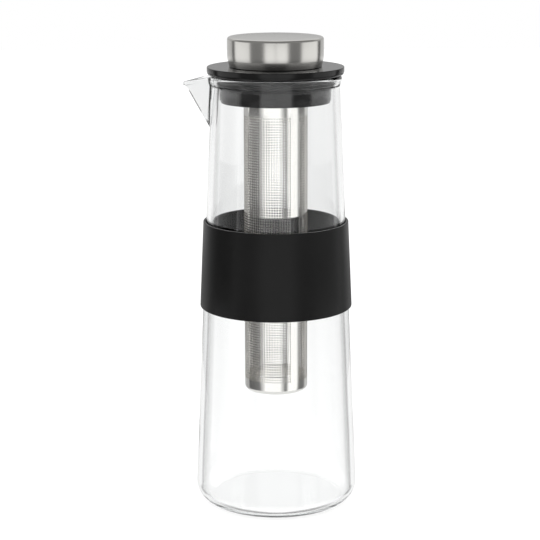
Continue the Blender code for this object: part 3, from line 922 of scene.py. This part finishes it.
def make_floor():
    """A pale floor that shows white and keeps a faint shadow. Reflections see the studio instead."""
    look, graph = new_material("floor_white")
    path = graph.add("ShaderNodeLightPath").outputs
    bounced = graph.at_least(path["Diffuse Depth"], 1)
    mirrored = graph.at_least(path["Glossy Depth"], 1)
    through_glass = graph.at_least(path["Transmission Depth"], 1)
    away = graph.split(graph.position())["Y"]
    strength = graph.blend(through_glass, FLOOR_GLOW, graph.graded(away, GLOW_STOPS, *GLOW_SPAN))
    plain = graph.add("ShaderNodeBsdfDiffuse", {"Color": grey(FLOOR_BOUNCE)}).outputs["BSDF"]
    shaded = graph.add("ShaderNodeBsdfDiffuse", {"Color": grey(FLOOR_SHADED)}).outputs["BSDF"]
    shown = graph.add("ShaderNodeAddShader", {0: shaded, 1: graph.glow(strength)}).outputs["Shader"]
    shown = graph.choose(mirrored, shown, graph.clear())
    graph.add("ShaderNodeOutputMaterial", {"Surface": graph.choose(bounced, shown, plain)})
    sides = ((-1, -1), (1, -1), (1, 1), (-1, 1))
    corners = [(FLOOR_HALF * x, FLOOR_HALF * y, -FLOOR_DROP) for x, y in sides]
    floor = flat_sheet("floor", corners, look)


def make_flag(name, side, front, level):
    """An upright card beside the carafe, that only the gloss outside the glass sees."""
    look, graph = new_material(name + "_card")
    path = graph.add("ShaderNodeLightPath").outputs
    inside = graph.at_least(path["Transmission Depth"], 1)
    mixed = graph.choose(inside, graph.glow(level), graph.clear())
    graph.add("ShaderNodeOutputMaterial", {"Surface": mixed})
    feet = ((side, front), (side, FLAG_BACK))
    corners = [(*foot, FLAG_BOTTOM) for foot in feet] + [(*foot, FLAG_TOP) for foot in reversed(feet)]
    flag = flat_sheet(name, corners, look)
    for ray in ("camera", "diffuse", "transmission", "shadow", "volume_scatter"):
        setattr(flag, "visible_" + ray, False)


def make_lamp(name, place, width, height, watts):
    """A soft box that faces the middle of the carafe."""
    data = bpy.data.lights.new(name, "AREA")
    data.shape = "RECTANGLE"
    data.size, data.size_y = width, height
    data.energy = watts
    lamp = bpy.data.objects.new(name, data)
    lamp.location = place
    lamp.visible_glossy = False
    aim = [target - at for target, at in zip(LAMP_AIM, place)]
    lamp.rotation_euler = Vector(aim).to_track_quat("-Z", "Y").to_euler()
    bpy.context.scene.collection.objects.link(lamp)


def main():
    scene = bpy.context.scene
    scene.view_settings.view_transform = "Standard"
    scene.cycles.max_bounces = MAX_BOUNCES
    scene.cycles.glossy_bounces = GLOSSY_BOUNCES
    scene.cycles.transmission_bounces = MAX_BOUNCES
    make_camera()
    make_world()
    make_floor()
    make_flag("left_flag", side=-FLAG_SIDE, front=-0.09, level=0.0)
    make_flag("right_flag", side=FLAG_SIDE, front=-0.10, level=0.45)
    make_lamp("left_box", place=(-1.3, -0.9, 1.0), width=0.8, height=1.2, watts=9.0)
    make_lamp("right_box", place=(1.4, -0.7, 0.9), width=0.7, height=1.2, watts=6.0)
    make_lamp("back_box", place=(0.3, 1.4, 1.2), width=1.0, height=1.0, watts=5.0)

    glass = clear_glass("carafe_clear")
    silicone = plastic(
        "sleeve_black", dark=0.0050, light=0.0075, roughness=0.30, specular=0.15,
        grain=5200.0, relief=0.00002,
    )
    matte = plastic(
        "disc_black", dark=0.0040, light=0.0060, roughness=0.12, specular=0.21,
        grain=6500.0, relief=0.000008,
    )
    gloss = plastic(
        "plug_black", dark=0.002, light=0.003, roughness=0.06, specular=0.14,
        grain=900.0, relief=0.000002,
    )
    rubber = plastic(
        "seal_black", dark=0.004, light=0.006, roughness=0.25, specular=0.45,
        grain=4200.0, relief=0.000008,
    )
    cap_steel = steel(
        "cap_brushed", dark=(0.555, 0.546, 0.522), light=(0.615, 0.604, 0.577), roughness=0.19,
        grain=5200.0, relief=0.000003,
    )
    # Where the filter steel gets painted shade: inside the tube, above the cup
    painted_shade_region = (TUBE_RADIUS - SHEET / 4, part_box("filter_base")[1][2])
    tube_steel = steel(
        "filter_bright", dark=(0.80, 0.788, 0.760), light=(0.85, 0.838, 0.810), roughness=0.06,
        grain=5200.0, relief=0.0000006, painted_shade_inside=painted_shade_region,
    )

    make_glass(glass)
    make_sleeve(silicone)
    make_collar(matte, gloss, rubber)
    make_filter(tube_steel)
    make_cap(cap_steel, matte, rubber)


main()
